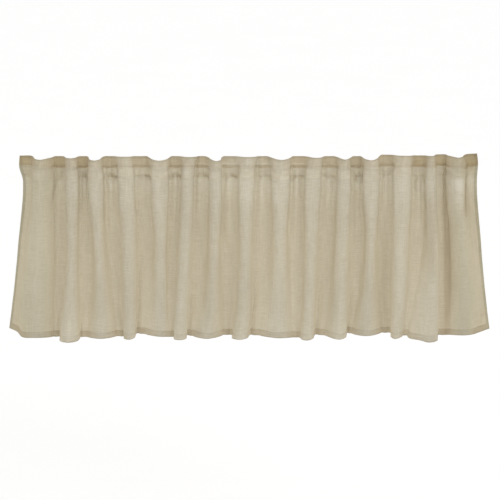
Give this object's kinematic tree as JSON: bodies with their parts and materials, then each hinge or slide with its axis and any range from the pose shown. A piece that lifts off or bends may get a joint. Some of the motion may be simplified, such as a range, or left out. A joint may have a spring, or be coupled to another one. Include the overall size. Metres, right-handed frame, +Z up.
{
  "type": "window valance",
  "caption": "Short gathered linen curtain that hangs across the top of a window, with a taped heading, turned hems and soft uneven folds.",
  "frame": {"origin": "middle of the top edge, in the plane of the cloth between the folds", "axes": "+X along the top edge, to the right seen from the room; +Y away from the room, towards the window; +Z up"},
  "size_m": [1.325, 0.0752, 0.52],
  "materials": {
    "linen_cloth": "plain-woven natural linen look, slightly sheer, with uneven slub threads in both directions",
    "tape_weave": "narrow woven tape, a little paler and smoother than the cloth",
    "label_satin": "off-white woven satin ribbon, blank"
  },
  "bodies": {
    "root": {"valance_panel": "linen_cloth", "heading_tape": "tape_weave", "care_label": "label_satin"}
  },
  "joints": []
}
